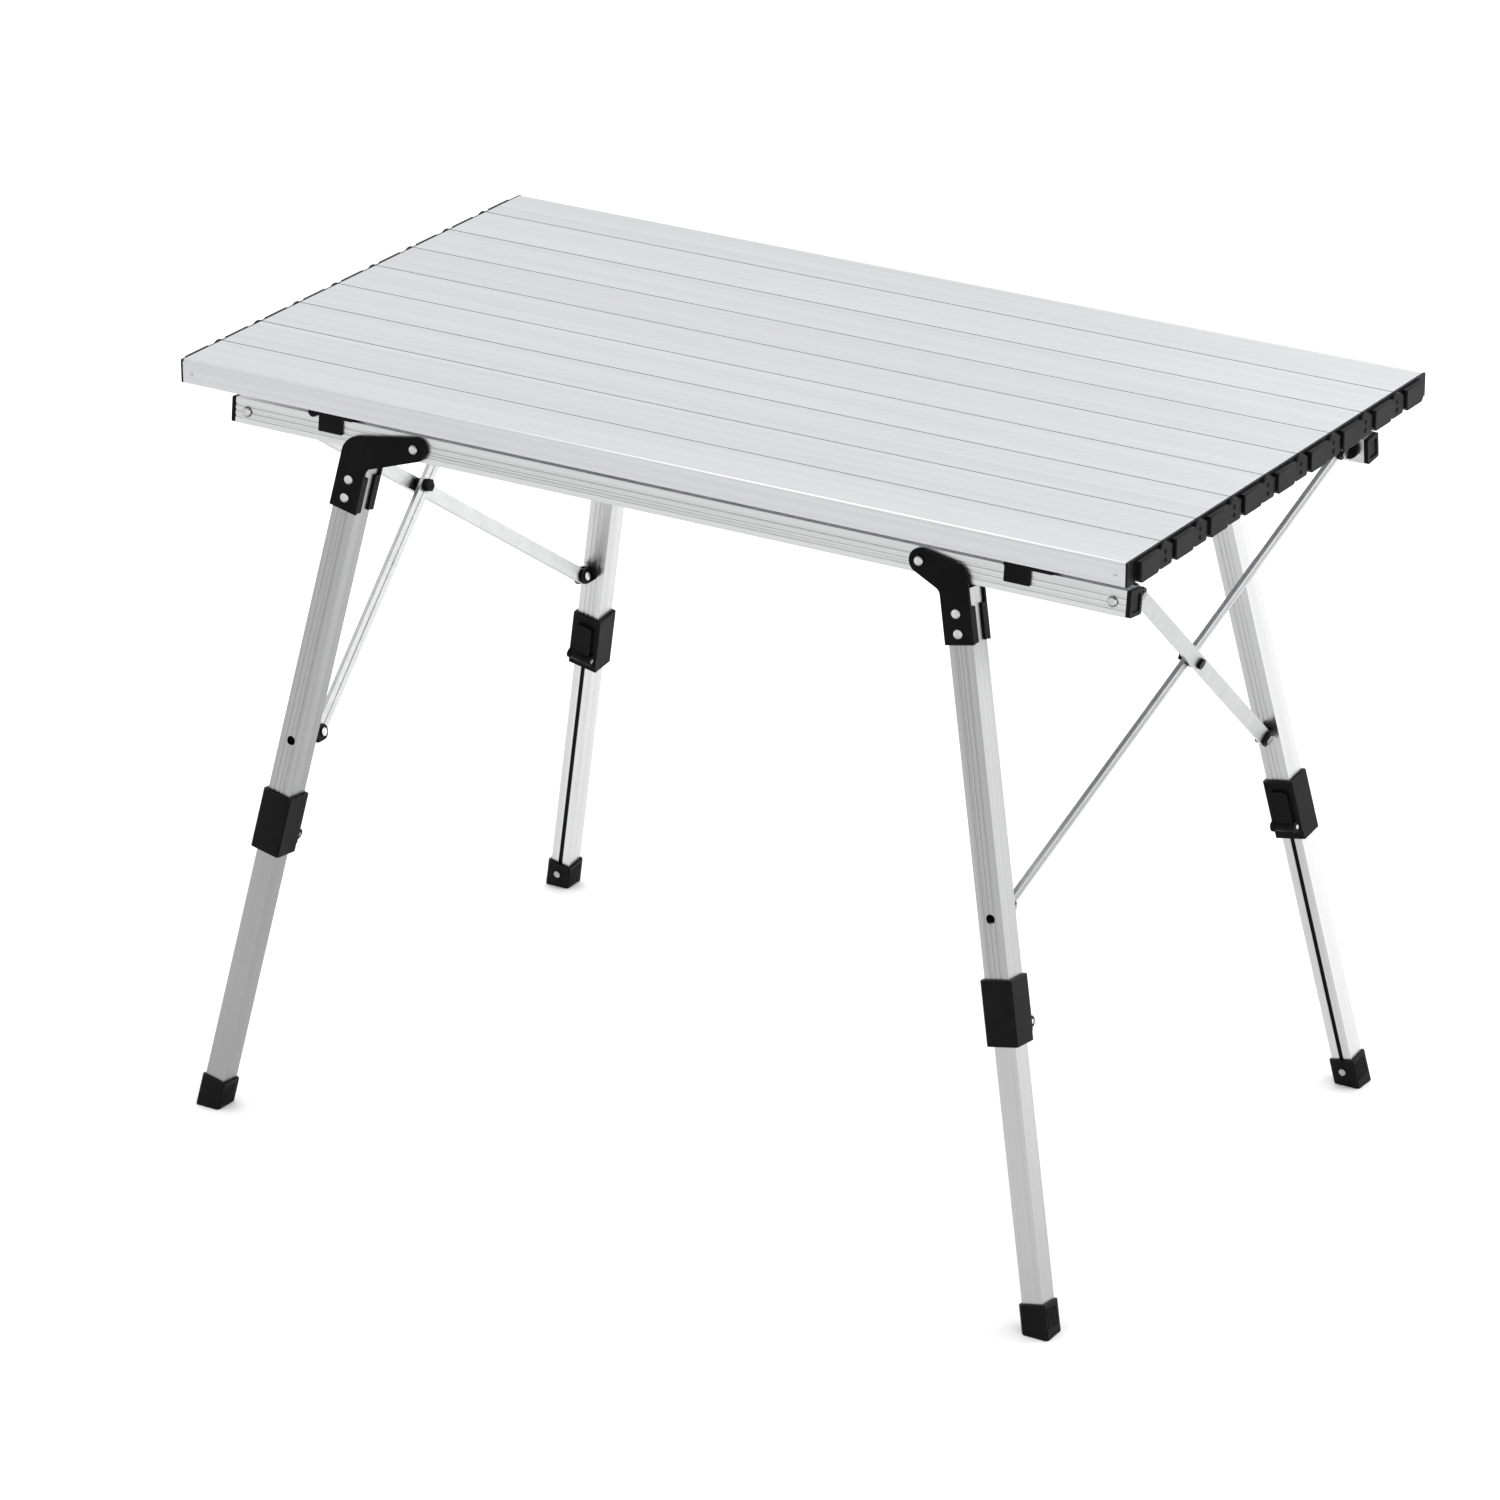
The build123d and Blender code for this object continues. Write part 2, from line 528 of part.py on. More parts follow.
def clevis(side, outside, on_leg):
    """Fork with its round base on a rail's or a leg's inner face, and the pin through the bar.

    It is drawn for the outside bar's rail end: its frame has X down the brace, Y away from the
    rail and Z out of the table.
    """
    start, end, along, normal = brace_frame(side)
    level = BAR_OFFSET if outside else -BAR_OFFSET
    slot = BAR_THICKNESS / 2 + CLEARANCE
    cheek = slot + 2.6
    root = -CLEVIS_REACH + (LEG_CLEVIS_GAP if on_leg else RAIL_CLEVIS_GAP)
    base = rod_y(LEG_CLEVIS_BASE if on_leg else RAIL_CLEVIS_BASE, root, root + 3.0, 0, 0)
    body = block((-7, 7), (root + 1.5, 0), (level - cheek, level + cheek))
    body += Pos(0, 0, level) * Cylinder(7.0, 2 * cheek)
    throat = -BAR_WIDTH / 2 - CLEARANCE
    body -= block((-20, 20), (throat, 20), (level - slot, level + slot))
    body += base
    hole = Pos(0, 0, level) * Cylinder(BRACE_PIN_RADIUS + HOLE_PLAY, 4 * cheek)
    body -= hole
    pin = Pos(0, 0, level) * Cylinder(BRACE_PIN_RADIUS, 2 * cheek)
    head = Pos(0, 0, level + cheek + 1.0) * Cylinder(4.2, 2.0)
    tail = Pos(0, 0, level - cheek - 0.8) * Cylinder(3.6, 1.6)
    fastener = pin + head + tail
    at_front = outside != on_leg
    point = end if on_leg else start
    origin = (point[0], -abs(point[1]) if at_front else abs(point[1]), point[2])
    frame = Plane(origin=origin, x_dir=along, z_dir=normal)
    away = 1 if at_front else -1
    if frame.y_dir.Y * away < 0:
        body = mirror(body, about=Plane.XZ)
        fastener = mirror(fastener, about=Plane.XZ)
    return [frame * body, frame * fastener]


# ---------------------------------------------------------------- files
def main():
    os.makedirs("parts", exist_ok=True)
    for number in range(1, SLAT_COUNT + 1):
        save(f"slat_{number}", slat(number))
        save(f"slat_{number}_ends", *slat_ends(number))

    caps = [tilt(rail_cap()), tilt(mirror(rail_cap(), about=Plane.YZ))]
    fittings = [clip(start, tab) for start, tab in zip(CLIP_STARTS, CLIP_TABS)]
    fittings += [tilt(end_rivet()), tilt(mirror(end_rivet(), about=Plane.YZ))]
    for row in ROWS:
        save(f"{row}_rail", mirrored(rail(), "right", row))
        save(f"{row}_rail_end_caps", *[mirrored(piece, "right", row) for piece in caps])
        save(f"{row}_rail_clips_and_rivets", *[mirrored(piece, "right", row) for piece in fittings])

    for side in SIDES:
        leg = {
            "leg_bracket": bracket(side),
            "upper_tube": [upper_tube(side)],
            "clamp_collar": [clamp_collar(side)],
            "clamp_lever": clamp_lever(side),
            "lower_tube": [lower_tube(side)],
            "foot": foot(side),
        }
        for row in ROWS:
            for name, pieces in leg.items():
                save(f"{row}_{side}_{name}", *[mirrored(piece, side, row) for piece in pieces])
        for row in ROWS:
            outside = row == "front"
            save(f"{side}_brace_bar_{row}", *[mirrored(p, side, "front") for p in brace_bar(side, outside)])
            rail_end = clevis(side, outside, False)
            save(f"{row}_{side}_rail_clevis", *[mirrored(p, side, "front") for p in rail_end])
            leg_end = clevis(side, not outside, True)
            save(f"{row}_{side}_leg_clevis", *[mirrored(p, side, "front") for p in leg_end])


main()
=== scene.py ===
import bmesh
import bpy
from math import radians, sin
from mathutils import Matrix, Vector
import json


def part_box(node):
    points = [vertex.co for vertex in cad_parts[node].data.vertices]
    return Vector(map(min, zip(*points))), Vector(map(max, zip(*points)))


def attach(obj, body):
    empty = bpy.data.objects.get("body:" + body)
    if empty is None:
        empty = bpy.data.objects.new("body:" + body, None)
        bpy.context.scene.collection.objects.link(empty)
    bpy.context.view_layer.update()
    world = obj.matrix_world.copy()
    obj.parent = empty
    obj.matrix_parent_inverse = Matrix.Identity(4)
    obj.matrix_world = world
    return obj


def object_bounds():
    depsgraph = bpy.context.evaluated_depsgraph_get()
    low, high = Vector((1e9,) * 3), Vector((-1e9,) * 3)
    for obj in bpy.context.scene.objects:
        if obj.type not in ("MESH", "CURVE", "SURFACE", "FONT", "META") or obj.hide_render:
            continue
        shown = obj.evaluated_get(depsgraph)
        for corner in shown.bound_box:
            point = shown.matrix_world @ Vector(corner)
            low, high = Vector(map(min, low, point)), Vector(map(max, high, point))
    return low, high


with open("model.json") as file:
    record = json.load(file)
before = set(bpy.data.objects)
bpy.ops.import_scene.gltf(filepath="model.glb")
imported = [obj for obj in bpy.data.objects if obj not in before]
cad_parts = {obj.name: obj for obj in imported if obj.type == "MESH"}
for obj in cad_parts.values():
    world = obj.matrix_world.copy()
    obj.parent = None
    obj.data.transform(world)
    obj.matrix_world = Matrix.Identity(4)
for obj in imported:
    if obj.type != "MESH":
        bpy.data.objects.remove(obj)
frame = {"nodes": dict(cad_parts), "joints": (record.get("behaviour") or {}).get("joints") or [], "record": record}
cad_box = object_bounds()
NODES = frame["nodes"]
SIDES = ("left", "right")
ROWS = ("front", "back")
SLATS = range(1, 10)
MM = 0.001
ALONG = Vector((1, 0, 0))           # the slats and the rails run this way

# Small pieces made here, in millimetres
RIB_PLACES = (-6.6, -3.3, 0.0, 3.3, 6.6)
RIB_HALF_WIDTH = 0.9
RIB_FACES = (12.0, 12.9)            # a foot's side face and the outer face of its ribs
RIB_LOW, RIB_HIGH = 5.5, 21.5
BLACK_STRIP_HALF_WIDTH = 3.2
BLACK_STRIP_FACES = (-8.3, -7.7)
BLACK_STRIP_LOW, BLACK_STRIP_HIGH = 12.0, 330.0
SCREW_INSET = 9                     # from a slat's end
SCREW_DROP = 11.0                   # below the upper face
SCREW_RADIUS, SCREW_DRIVE = 1.9, 1.1
LINK_RECESS = 2.0                   # the links' outer faces lie this far inside the blocks'
LINK_THICKNESS = 2.4
SHOULDER_RADIUS = 10.0
SHOULDER_DROP = 10.2
BOSS_DROPS = (8.0, 15.2)


# ---------------------------------------------------------------- where things are
def joint(name):
    return next(item for item in frame["joints"] if item["name"] == name)


def mount_point(name):
    return Vector(next(item for item in frame["record"]["mounts"] if item["name"] == name)["pos_m"])


def leg_axes(row, side):
    """A leg's own directions: up along it, outward from the table, and across it to the table's end."""
    up = Vector(joint(f"{row}_{side}_height")["axis"]).normalized()
    across = Vector(joint(f"{row}_{side}_lever_turn")["axis"]).normalized()
    end = 1 if side == "right" else -1
    if across.x * end < 0:
        across = -across
    outward = up.cross(across).normalized()
    front = 1 if row == "back" else -1
    if outward.y * front < 0:
        outward = -outward
    return across, outward, up


def leg_matrix(row, side, point):
    """Matrix that puts a piece drawn with X across, Y outward and Z up at a point of the leg."""
    across, outward, up = leg_axes(row, side)
    turn = Matrix((across, outward, up)).transposed().to_4x4()
    return Matrix.Translation(point) @ turn


# ---------------------------------------------------------------- material nodes
class Nodes:
    """A small helper for building one material's node tree."""

    def __init__(self, name):
        self.material = bpy.data.materials.new(name)
        self.material.use_nodes = True
        self.tree = self.material.node_tree
        self.shader = self.tree.nodes["Principled BSDF"]

    def add(self, kind, inputs=None, **settings):
        node = self.tree.nodes.new(kind)
        for key, value in settings.items():
            setattr(node, key, value)
        for key, value in (inputs or {}).items():
            self.set(node.inputs[key], value)
        return node

    def set(self, socket, value):
        if isinstance(value, bpy.types.NodeSocket):
            self.tree.links.new(value, socket)
        else:
            socket.default_value = value

    def math(self, operation, first, second=0.0, clamp=False):
        node = self.add("ShaderNodeMath", {0: first, 1: second}, operation=operation)
        node.use_clamp = clamp
        return node.outputs[0]

    def span(self, value, low, high, to_low, to_high):
        node = self.add("ShaderNodeMapRange", {
            "Value": value, "From Min": low, "From Max": high, "To Min": to_low, "To Max": to_high})
        return node.outputs["Result"]

    def mix(self, factor, first, second):
        node = self.add("ShaderNodeMix", data_type="RGBA")
        self.set(node.inputs[0], factor)
        self.set(node.inputs[6], first)
        self.set(node.inputs[7], second)
        return node.outputs[2]

    def noise(self, coordinates, scale, detail=3.0, roughness=0.5):
        node = self.add("ShaderNodeTexNoise", {
            "Vector": coordinates, "Scale": scale, "Detail": detail, "Roughness": roughness})
        return node.outputs["Fac"]

    def object_space(self, stretch=(1, 1, 1), turn=(0, 0, 0), shift=(0, 0, 0)):
        """Object coordinates, turned so that X runs along the grain, then stretched."""
        base = self.add("ShaderNodeTexCoord").outputs["Object"]
        turned = self.add("ShaderNodeMapping", {"Vector": base, "Rotation": turn, "Location": shift})
        node = self.add("ShaderNodeVectorMath", {0: turned.outputs[0], 1: stretch}, operation="MULTIPLY")
        return node.outputs[0]

    def edges(self, radius):
        """About 0 on flat faces and up to 1 within the radius of an edge."""
        soft = self.add("ShaderNodeBevel", {"Radius": radius}, samples=4).outputs[0]
        hard = self.add("ShaderNodeNewGeometry").outputs["Normal"]
        dot = self.add("ShaderNodeVectorMath", {0: soft, 1: hard}, operation="DOT_PRODUCT").outputs["Value"]
        return self.span(dot, 1.0, 0.82, 0.0, 1.0)

    def recess(self, reach):
        """About 0 on open faces and up to 1 in grooves and inner corners."""
        open_sky = self.add("ShaderNodeAmbientOcclusion", {"Distance": reach}, samples=8).outputs["AO"]
        return self.span(open_sky, 0.92, 0.5, 0.0, 1.0)

    def bump(self, height, strength, distance):
        node = self.add("ShaderNodeBump", {"Height": height, "Strength": strength, "Distance": distance})
        self.set(self.shader.inputs["Normal"], node.outputs[0])

    def finish(self, colour, roughness, **constants):
        self.set(self.shader.inputs["Base Color"], colour)
        self.set(self.shader.inputs["Roughness"], roughness)
        for key, value in constants.items():
            self.shader.inputs[key.replace("_", " ")].default_value = value
        return self.material


def grain_turn(direction):
    """Euler angles that turn a direction onto X."""
    return direction.rotation_difference(Vector((1, 0, 0))).to_euler()


def brushed_metal(name, colour, direction, seed, roughness=0.34, contrast=0.12, painted_recess_shade=0.42):
    """Drawn or brushed metal: long fine lines, slow tone bands, faint smudges, and painted shade that darkens
    channels, seams and inner corners.
    """
    n = Nodes(name)
    turn = grain_turn(direction)
    fine = n.noise(n.object_space((3.0, 1300.0, 1300.0), turn, (seed, seed * 0.7, 0)), 1.0, 4.0, 0.65)
    lines = n.noise(n.object_space((0.9, 330.0, 330.0), turn, (seed * 0.3, seed, 0)), 1.0, 3.0, 0.6)
    bands = n.noise(n.object_space((0.6, 75.0, 75.0), turn, (0, seed, seed)), 1.0, 3.0, 0.5)
    smudge = n.noise(n.object_space((6, 9, 9), turn, (seed, 0, 0)), 1.0, 5.0, 0.6)
    tone = n.math("ADD", n.math("MULTIPLY", fine, 0.3), n.math("MULTIPLY", lines, 0.4))
    tone = n.math("ADD", tone, n.math("MULTIPLY", bands, 0.3))
    factor = n.span(tone, 0.36, 0.64, 0.0, 1.0)
    dark = [c * (1 - contrast) for c in colour] + [1]
    light = [min(1.0, c * (1 + contrast)) for c in colour] + [1]
    base = n.mix(factor, dark, light)
    base = n.mix(n.span(smudge, 0.56, 0.75, 0.0, 0.18), base, [c * 0.8 for c in colour] + [1])
    # painted shade: darker in channels, seams between parts and inner corners, from the ambient occlusion mask
    base = n.mix(n.recess(0.002), base, [c * painted_recess_shade for c in colour] + [1])
    rough = n.span(n.math("ADD", n.math("MULTIPLY", fine, 0.5), n.math("MULTIPLY", smudge, 0.5)),
                   0.3, 0.7, roughness - 0.05, roughness + 0.07)
    n.bump(n.math("ADD", fine, n.math("MULTIPLY", lines, 0.6)), 0.25, 0.00006)
    return n.finish(base, rough, Metallic=1.0)


def black_plastic(name, seed, roughness=0.42, value=0.0025, sheen=0.06):
    """Moulded black plastic: spark-eroded texture, slow sheen changes, paler rubbed edges."""
    n = Nodes(name)
    space = n.object_space((1, 1, 1), (0, 0, 0), (seed, seed * 0.5, 0))
    grain = n.noise(space, 1500.0, 3.0, 0.6)
    patches = n.noise(space, 38.0, 4.0, 0.55)
    tone = n.span(patches, 0.3, 0.7, 0.0, 1.0)
    base = n.mix(tone, (value, value, value * 1.1, 1), (value * 2.2, value * 2.2, value * 2.4, 1))
    rub = n.math("MULTIPLY", n.edges(0.0008), n.span(n.noise(space, 160.0), 0.35, 0.65, 0.1, 0.6))
    base = n.mix(rub, base, (0.045, 0.045, 0.048, 1))
    rough = n.span(patches, 0.3, 0.7, roughness - 0.06, roughness + 0.1)
    n.bump(n.math("ADD", grain, n.math("MULTIPLY", patches, 0.5)), 0.3, 0.00009)
    return n.finish(base, rough, Specular_IOR_Level=sheen)


def rivet_metal(name, seed):
    """Bright turned steel with a soft haze and tiny pits, with painted shade: darker on its downward faces and in
    a dark ring where it meets its seat.
    """
    n = Nodes(name)
    space = n.object_space((1, 1, 1), (0, 0, 0), (seed, 0, 0))
    pits = n.noise(space, 900.0, 4.0, 0.6)
    haze = n.noise(space, 120.0, 2.0)
    base = n.mix(n.span(haze, 0.3, 0.7, 0, 1), (0.42, 0.42, 0.43, 1), (0.6, 0.6, 0.6, 1))
    # painted shade: faces that point downwards are darkened, as if in shade
    facing = n.add("ShaderNodeSeparateXYZ", {0: n.add("ShaderNodeTexCoord").outputs["Normal"]}).outputs["Z"]
    base = n.mix(n.span(facing, 0.15, -0.45, 0.0, 0.85), base, (0.06, 0.06, 0.06, 1))
    # painted shade: a dark ring where the head meets its seat, from the ambient occlusion mask
    base = n.mix(n.recess(0.004), base, (0.07, 0.07, 0.07, 1))
    n.bump(pits, 0.15, 0.00005)
    return n.finish(base, n.span(pits, 0.3, 0.7, 0.2, 0.32), Metallic=1.0)


# Painted light and shade: the upper and the lower tube of each leg get their own reflectivity, lighter or darker
# after how the studio light falls on that leg
LEG_PAINTED_LIGHT_TONES = {("front", "left"): (0.33, 0.3), ("front", "right"): (0.34, 0.4),
              ("back", "left"): (0.52, 0.56), ("back", "right"): (0.46, 0.54)}
SLAT_TONE = 0.497
slat_metal = {}
for number in SLATS:
    warm = 0.0015 * sin(number * 2.4)
    lightness = SLAT_TONE + 0.006 * sin(number * 1.7 + 0.6)
    tint = (lightness + warm, lightness + 0.003, (lightness - warm) * 1.035)
    # the strength of the painted shade in the gaps between slats is set here
    slat_metal[number] = brushed_metal(
        f"slat_{number}_brushed", tint, ALONG, number * 1.37, roughness=0.36, contrast=0.09, painted_recess_shade=0.25)
# the rail's painted shade in its channels is set here, weaker than on the legs
rail_metal = brushed_metal(
    "rail_drawn", (0.52, 0.522, 0.525), ALONG, 3.1, roughness=0.33, contrast=0.12, painted_recess_shade=0.66)
brace_metal = brushed_metal(
    "brace_satin", (0.42, 0.422, 0.425), ALONG, 9.3, roughness=0.36, contrast=0.1)
leg_metal = {}
lower_metal = {}
for row in ROWS:
    for side in SIDES:
        grain = leg_axes(row, side)[2]
        seed = 5.0 + 1.7 * len(leg_metal)
        # painted light and shade: this leg's tubes are made lighter or darker after how the studio light falls on
        # them
        shade, lower_shade = LEG_PAINTED_LIGHT_TONES[row, side]
        leg_metal[row, side] = brushed_metal(
            f"{row}_{side}_leg_drawn", (shade, shade, shade + 0.003), grain, seed,
            roughness=0.31, contrast=0.16)
        lower_metal[row, side] = brushed_metal(
            f"{row}_{side}_lower_leg_drawn", (lower_shade,) * 3, grain, seed + 30,
            roughness=0.3, contrast=0.09)
plastic = black_plastic("fitting_plastic", 1.0)
end_plastic = black_plastic("slat_end_plastic", 7.0, roughness=0.38, value=0.0035, sheen=0.06)
bracket_paint = black_plastic("bracket_powder_coat", 12.0, roughness=0.34, value=0.002, sheen=0.05)
bright = rivet_metal("bright_steel", 2.0)


# ---------------------------------------------------------------- CAD nodes that stay
def parts_of(mesh):
    """Connected groups of polygons, by shared places."""
    key = {}
    parent = {}

    def root(i):
        while parent[i] != i:
            parent[i] = parent[parent[i]]
            i = parent[i]
        return i

    for polygon in mesh.polygons:
        ids = []
        for v in polygon.vertices:
            place = tuple(round(c, 6) for c in mesh.vertices[v].co)
            ids.append(key.setdefault(place, len(key)))
        for i in ids:
            parent.setdefault(i, i)
        for i in ids[1:]:
            parent[root(i)] = root(ids[0])
    groups = {}
    for polygon in mesh.polygons:
        place = tuple(round(c, 6) for c in mesh.vertices[polygon.vertices[0]].co)
        groups.setdefault(root(key[place]), []).append(polygon)
    return list(groups.values())


def group_size(mesh, group):
    places = [mesh.vertices[v].co for polygon in group for v in polygon.vertices]
    low = Vector([min(p[i] for p in places) for i in range(3)])
    high = Vector([max(p[i] for p in places) for i in range(3)])
    return (high - low).length


def dress(node, materials, choose=None, bevel=0.4):
    """Gives a CAD node its materials, one per solid where choose says so, and rounded edges."""
    item = NODES[node]
    mesh = item.data
    mesh.materials.clear()
    for each in materials:
        mesh.materials.append(each)
    if choose:
        for group in parts_of(mesh):
            index = choose(group_size(mesh, group))
            for polygon in group:
                polygon.material_index = index
    weld = item.modifiers.new("weld", "WELD")
    weld.merge_threshold = 0.00001
    if bevel:
        rounding = item.modifiers.new("rounding", "BEVEL")
        rounding.width = bevel * MM
        rounding.segments = 2
        rounding.limit_method = "ANGLE"
        rounding.angle_limit = radians(35)
        rounding.harden_normals = True
        rounding.use_clamp_overlap = True


def second_below(limit):
    """Picks the second material for solids no larger than the limit, in metres, such as rivets."""
    return lambda size: 0 if size > limit else 1


for number in SLATS:
    dress(f"slat_{number}", [slat_metal[number]], bevel=0.12)
    dress(f"slat_{number}_ends", [end_plastic], bevel=0.5)
for row in ROWS:
    dress(f"{row}_rail", [rail_metal], bevel=0.3)
    dress(f"{row}_rail_end_caps", [plastic], bevel=0.5)
    dress(f"{row}_rail_clips_and_rivets", [plastic, bright], second_below(0.03), bevel=0.4)
    for side in SIDES:
        key = f"{row}_{side}"
        dress(f"{key}_leg_bracket", [bracket_paint, bright], second_below(0.04), bevel=0.4)
        dress(f"{key}_upper_tube", [leg_metal[row, side]], bevel=0.3)
        dress(f"{key}_lower_tube", [lower_metal[row, side]], bevel=0.3)
        dress(f"{key}_clamp_collar", [plastic], bevel=0.5)
        dress(f"{key}_clamp_lever", [plastic, bright], second_below(0.03), bevel=0.5)
        dress(f"{key}_foot", [plastic, bright], second_below(0.02), bevel=1.2)
        dress(f"{key}_rail_clevis", [plastic, bright], second_below(0.0245), bevel=0.4)
        dress(f"{key}_leg_clevis", [plastic, bright], second_below(0.0225), bevel=0.4)
for side in SIDES:
    for row in ROWS:
        dress(f"{side}_brace_bar_{row}", [brace_metal, plastic], second_below(0.05), bevel=0.4)


# ---------------------------------------------------------------- small pieces made here
def add_piece(name, body, material, shape, matrix=Matrix()):
    """Turns a drawn shape, in millimetres, into an object that rides on a body."""
    shape.transform(matrix @ Matrix.Scale(MM, 4))
    mesh = bpy.data.meshes.new(name)
    shape.to_mesh(mesh)
    shape.free()
    mesh.materials.append(material)
    for polygon in mesh.polygons:
        polygon.use_smooth = True
    item = bpy.data.objects.new(name, mesh)
    bpy.context.scene.collection.objects.link(item)
    rounding = item.modifiers.new("rounding", "BEVEL")
    rounding.width = 0.2 * MM
    rounding.segments = 2
    rounding.harden_normals = True
    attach(item, body)
    return item


def add_box(shape, low, high):
    """A box between two corners."""
    size = [b - a for a, b in zip(low, high)]
    centre = [(a + b) / 2 for a, b in zip(low, high)]
    place = Matrix.Translation(centre) @ Matrix.Diagonal((*size, 1))
    bmesh.ops.create_cube(shape, size=1, matrix=place)


def add_disc(shape, radius, depth, centre, direction, inner=None):
    """A short cylinder; with an inner radius, its outer end narrows to it like a domed head."""
    turn = Vector((0, 0, 1)).rotation_difference(Vector(direction)).to_matrix().to_4x4()
    place = Matrix.Translation(centre) @ turn
    bmesh.ops.create_cone(shape, cap_ends=True, segments=32, radius1=radius,
                          radius2=inner or radius, depth=depth, matrix=place)


def foot_ribs(row, side):
    """Upright ribs on both side faces of a foot, in the leg's own directions."""
    shape = bmesh.new()
    for end in (-1, 1):
        near, far = sorted(end * face for face in RIB_FACES)
        for place in RIB_PLACES:
            low = (near, place - RIB_HALF_WIDTH, RIB_LOW)
            high = (far, place + RIB_HALF_WIDTH, RIB_HIGH)
            add_box(shape, low, high)
    place = leg_matrix(row, side, mount_point(f"{row}_{side}_foot_sole"))
    add_piece(f"{row}_{side}_foot_ribs", f"{row}_{side}_lower_leg", plastic, shape, place)


def skirt_screws(number, outward):
    """Small countersunk screws near both ends of an outer slat's side."""
    low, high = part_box(f"slat_{number}")
    face = (low.y if outward < 0 else high.y) / MM
    shape = bmesh.new()
    for end in (low.x / MM + SCREW_INSET, high.x / MM - SCREW_INSET):
        centre = (end, face + outward * 0.15, high.z / MM - SCREW_DROP)
        add_disc(shape, SCREW_RADIUS, 0.5, centre, (0, outward, 0), SCREW_DRIVE)
    add_piece(f"slat_{number}_screws", f"slat_{number}", bright, shape)


def link_details(number):
    """The round shoulder on top of each link and two moulded bosses on its outer face."""
    low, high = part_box(f"slat_{number}")
    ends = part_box(f"slat_{number}_ends")
    shape = bmesh.new()
    y = (low.y - 0.0005) / MM
    for end in (-1, 1):
        face = end * (ends[1].x / MM - LINK_RECESS)
        centre = (face - end * 1.4, y, high.z / MM - SHOULDER_DROP)
        add_disc(shape, SHOULDER_RADIUS, LINK_THICKNESS, centre, (end, 0, 0))
        for drop in BOSS_DROPS:
            add_disc(shape, 2.4, 0.9, (face + end * 0.3, y, high.z / MM - drop), (end, 0, 0), 2.0)
            add_disc(shape, 1.0, 0.5, (face + end * 0.9, y, high.z / MM - drop), (end, 0, 0), 0.8)
    add_piece(f"slat_{number}_link_bosses", f"slat_{number}", end_plastic, shape)


def slot_black_strip(row, side):
    """Black strip inside a lower tube, right behind its slot, which makes the slot look black."""
    shape = bmesh.new()
    low = (-BLACK_STRIP_HALF_WIDTH, BLACK_STRIP_FACES[0], BLACK_STRIP_LOW)
    high = (BLACK_STRIP_HALF_WIDTH, BLACK_STRIP_FACES[1], BLACK_STRIP_HIGH)
    add_box(shape, low, high)
    place = leg_matrix(row, side, mount_point(f"{row}_{side}_foot_sole"))
    add_piece(f"{row}_{side}_slot_black_strip", f"{row}_{side}_lower_leg", plastic, shape, place)


for row in ROWS:
    for side in SIDES:
        foot_ribs(row, side)
        slot_black_strip(row, side)
skirt_screws(1, -1)
skirt_screws(9, 1)
for number in SLATS[1:]:
    link_details(number)


# ---------------------------------------------------------------- floor, lights and camera
CAMERA_LENS = 166.52
CAMERA_PLACE = (2.8146, -4.6618, 1.94)      # the heights here are above the table's top
CAMERA_TARGET = (-0.0503, 0, -0.3579)


def floor_material():
    n = Nodes("pale_floor")
    space = n.object_space()
    cloud = n.noise(space, 1.2, 3.0)
    base = n.mix(n.span(cloud, 0.3, 0.7, 0, 1), (0.93, 0.93, 0.93, 1), (0.95, 0.95, 0.95, 1))
    n.bump(n.noise(space, 600.0), 0.05, 0.0002)
    return n.finish(base, n.span(cloud, 0.3, 0.7, 0.65, 0.75))


def make_floor():
    mesh = bpy.data.meshes.new("floor")
    reach = 14.0
    corners = [(-reach, -reach, 0), (reach, -reach, 0), (reach, reach, 0), (-reach, reach, 0)]
    mesh.from_pydata(corners, [], [(0, 1, 2, 3)])
    mesh.materials.append(floor_material())
    item = bpy.data.objects.new("floor", mesh)
    bpy.context.scene.collection.objects.link(item)
    item.location.z = -0.0005


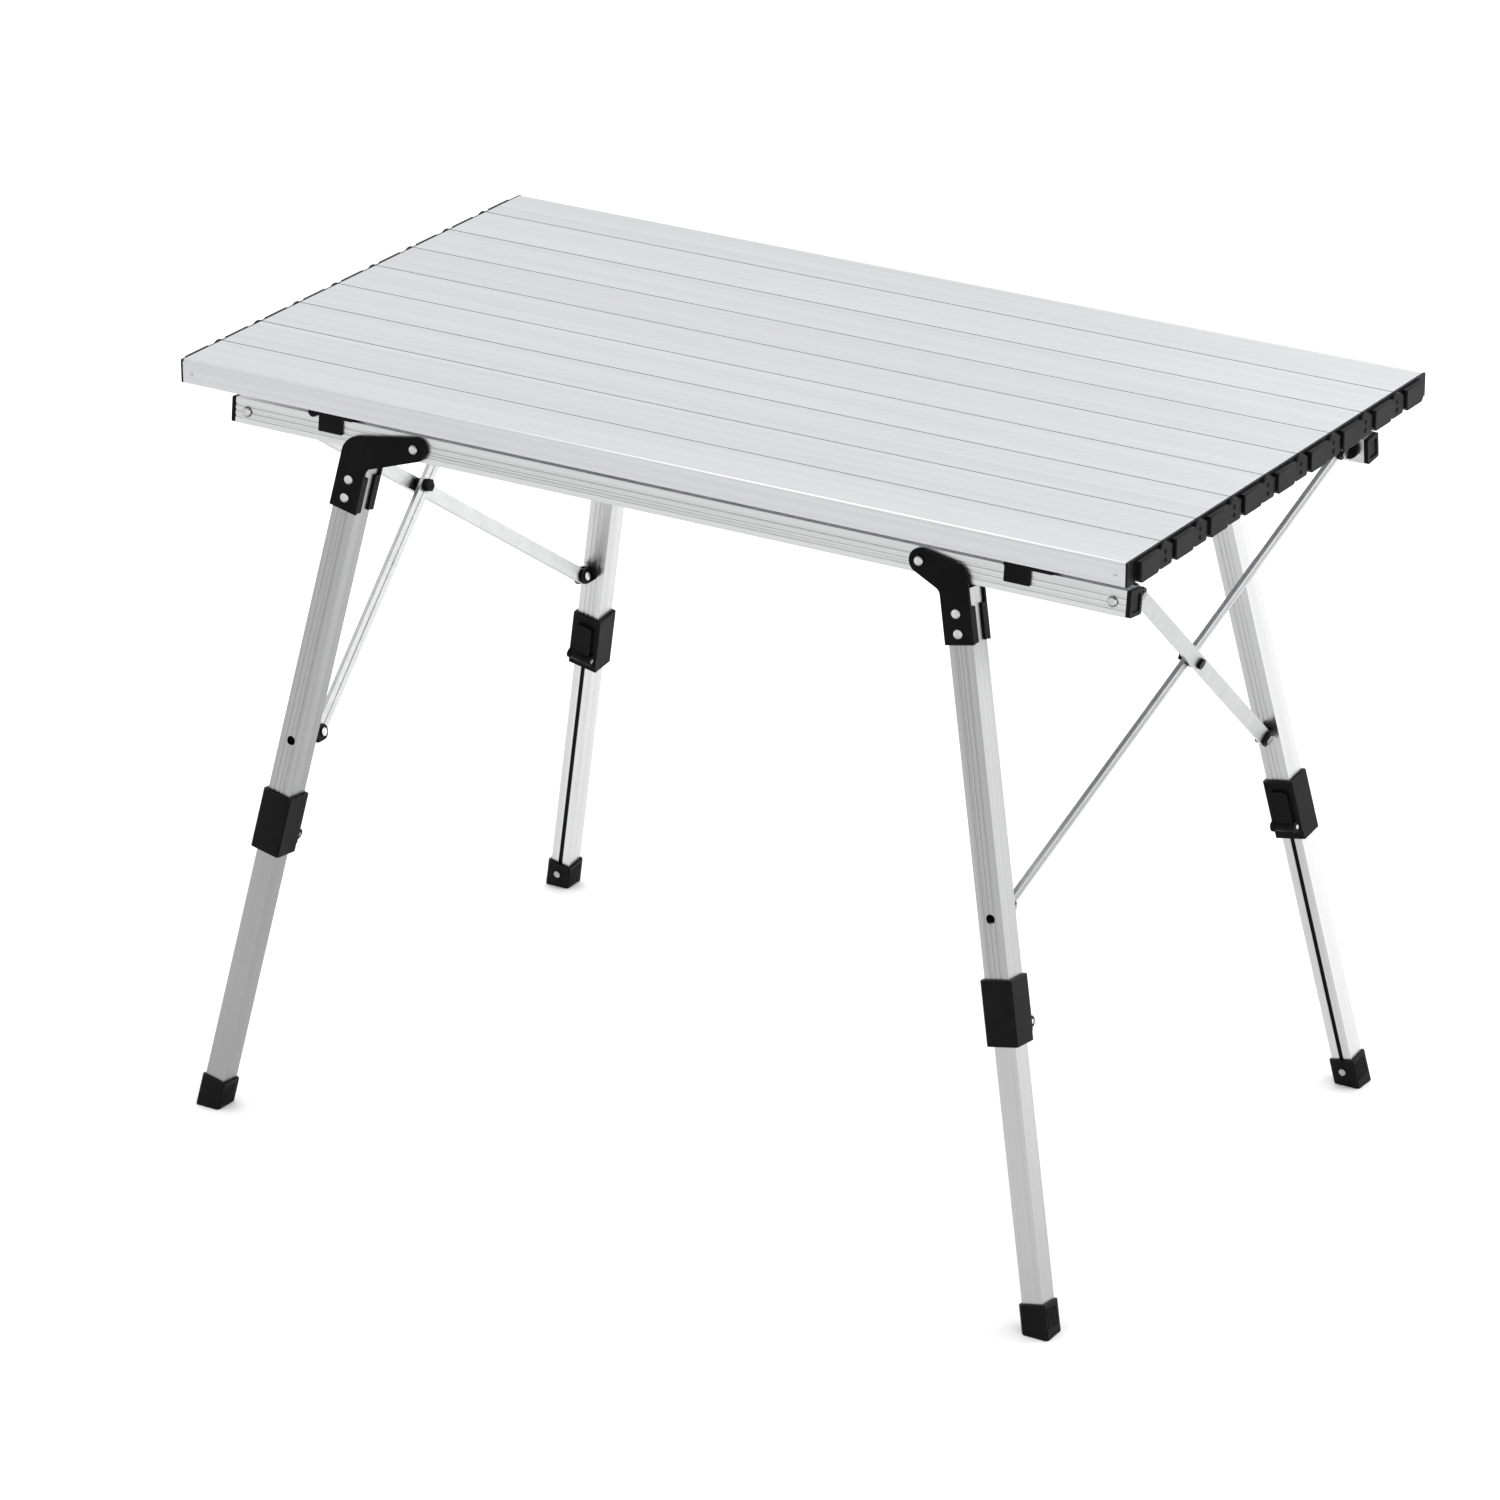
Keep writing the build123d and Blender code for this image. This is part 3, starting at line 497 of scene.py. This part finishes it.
def area_light(name, place, target, size, energy):
    data = bpy.data.lights.new(name, "AREA")
    data.shape = "RECTANGLE"
    data.size, data.size_y = size
    data.energy = energy
    item = bpy.data.objects.new(name, data)
    bpy.context.scene.collection.objects.link(item)
    item.location = place
    item.rotation_euler = (Vector(target) - Vector(place)).to_track_quat("-Z", "Y").to_euler()


def make_world():
    world = bpy.data.worlds.new("studio")
    bpy.context.scene.world = world
    world.use_nodes = True
    tree = world.node_tree
    background = tree.nodes["Background"]
    place = tree.nodes.new("ShaderNodeTexCoord")
    split = tree.nodes.new("ShaderNodeSeparateXYZ")
    ramp = tree.nodes.new("ShaderNodeValToRGB")
    tree.links.new(place.outputs["Generated"], split.inputs[0])
    tree.links.new(split.outputs["Z"], ramp.inputs[0])
    tree.links.new(ramp.outputs[0], background.inputs["Color"])
    ramp.color_ramp.elements[0].position = 0.0
    ramp.color_ramp.elements[0].color = (0.94, 0.94, 0.94, 1)
    ramp.color_ramp.elements[1].position = 0.9
    ramp.color_ramp.elements[1].color = (1.0, 1.0, 1.0, 1)
    background.inputs["Strength"].default_value = 1.3


def make_camera():
    data = bpy.data.cameras.new("camera")
    data.sensor_width = 36.0
    data.lens = CAMERA_LENS
    data.clip_end = 100.0
    item = bpy.data.objects.new("camera", data)
    bpy.context.scene.collection.objects.link(item)
    top = cad_box[1].z
    item.location = (CAMERA_PLACE[0], CAMERA_PLACE[1], top + CAMERA_PLACE[2])
    target = Vector((CAMERA_TARGET[0], CAMERA_TARGET[1], top + CAMERA_TARGET[2]))
    item.rotation_euler = (target - item.location).to_track_quat("-Z", "Y").to_euler()
    bpy.context.scene.camera = item


make_floor()
make_world()
bpy.context.scene.view_settings.view_transform = "Standard"
area_light("key", place=(-0.8, 0.6, 3.6), target=(0, 0, 0.5), size=(2.2, 2.2), energy=30)
area_light("side", place=(3.2, 2.4, 1.3), target=(0, 0, 0.4), size=(2.4, 1.8), energy=60)
area_light("back", place=(-0.9, 4.2, 2.2), target=(0.3, 0.2, 0.67), size=(1.6, 1.2), energy=3)
make_camera()
